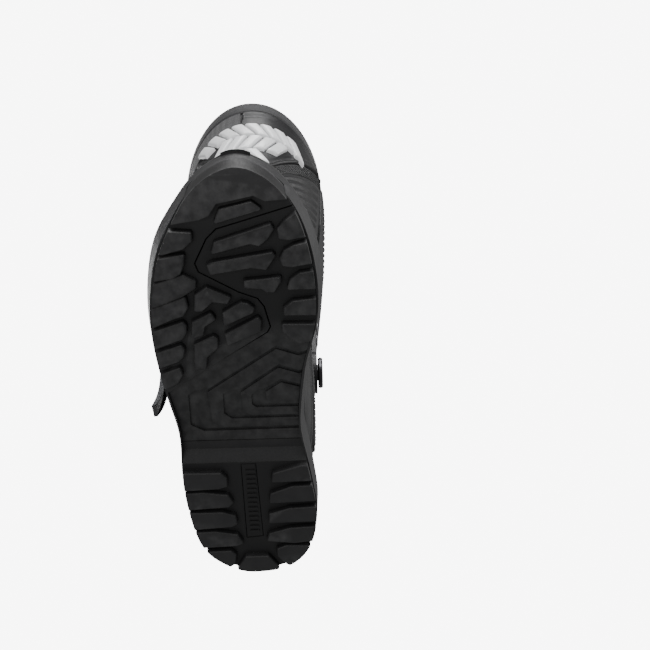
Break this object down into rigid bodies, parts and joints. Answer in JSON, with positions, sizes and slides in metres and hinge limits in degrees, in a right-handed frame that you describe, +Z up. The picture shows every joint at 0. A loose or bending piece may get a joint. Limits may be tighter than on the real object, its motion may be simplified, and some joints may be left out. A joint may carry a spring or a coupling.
{
  "type": "off-road riding boot",
  "caption": "Tall black off-road riding boot, right foot: lugged rubber sole, hinged cuff with shin plates and white trim, and straps closed by lever buckles.",
  "frame": {"origin": "on the ground under the back of the heel, in the middle of the rear heel lug", "axes": "+X forwards to the toe, +Y to the wearer's inner side, +Z up along the shaft"},
  "size_m": [0.3135, 0.1329, 0.3925],
  "materials": {
    "sole_rubber": "matte black moulded rubber",
    "foam": "dark foam and fibre board",
    "steel": "dark satin steel",
    "shell": "black grained synthetic leather",
    "plastic": "satin black moulded plastic",
    "strap": "black flexible plastic",
    "trim_white": "glossy white moulded trim",
    "lining": "black padded textile"
  },
  "bodies": {
    "foot": {"outsole_lateral": "sole_rubber", "outsole_medial": "sole_rubber", "heel_block": "sole_rubber", "heel_plaque": "sole_rubber", "sole_rand": "sole_rubber", "midsole": "foam", "steel_shank": "steel", "insole_board": "foam", "footbed": "foam", "foot_shell_lateral": "shell", "foot_shell_medial": "shell", "foot_liner": "lining", "toe_cap": "plastic", "instep_plate": "plastic", "heel_counter": "plastic", "side_guard_lateral": "plastic", "side_guard_medial": "plastic", "ankle_guard_lateral": "plastic", "ankle_guard_medial": "plastic", "ankle_pivots": "steel", "ankle_gaiter": "lining", "instep_strap": "strap", "instep_buckle_base": "plastic", "instep_buckle_pin": "steel", "instep_strap_screw": "steel"},
    "cuff": {"cuff_panel_lateral": "shell", "cuff_panel_medial": "shell", "cuff_liner": "lining", "shin_plate": "plastic", "shin_rib_plate": "plastic", "shin_band": "plastic", "shin_badge": "trim_white", "textile_band": "shell", "closure_flap": "shell", "top_collar": "lining", "calf_plate": "plastic", "medial_grip_pad": "sole_rubber", "hinge_frame_lateral": "plastic", "hinge_frame_medial": "plastic", "hinge_frame_rivets": "steel", "ankle_strap": "strap", "ankle_buckle_base": "plastic", "shin_strap": "strap", "shin_buckle_base": "plastic", "cuff_buckle_pins": "steel", "cuff_strap_screws": "steel"},
    "instep_lever": {"instep_buckle_lever": "plastic"},
    "ankle_lever": {"ankle_buckle_lever": "plastic"},
    "shin_lever": {"shin_buckle_lever": "plastic"}
  },
  "joints": [
    {"name": "ankle_flex", "type": "hinge", "parent": "foot", "child": "cuff", "pos_m": [0.085, 0, 0.122], "axis": [0, 1, 0], "range_deg": [-8, 11], "deforming": ["ankle_gaiter"]},
    {"name": "instep_lever_turn", "type": "hinge", "parent": "foot", "child": "instep_lever", "pos_m": [0.13075, -0.05395, 0.08597], "axis": [-0.8489, 0, 0.5286], "range_deg": [0, 105]},
    {"name": "ankle_lever_turn", "type": "hinge", "parent": "cuff", "child": "ankle_lever", "pos_m": [0.12144, -0.05908, 0.22273], "axis": [-0.4441, 0, 0.896], "range_deg": [0, 105]},
    {"name": "shin_lever_turn", "type": "hinge", "parent": "cuff", "child": "shin_lever", "pos_m": [0.12546, -0.06328, 0.26634], "axis": [-0.3673, 0, 0.9301], "range_deg": [0, 105]}
  ]
}
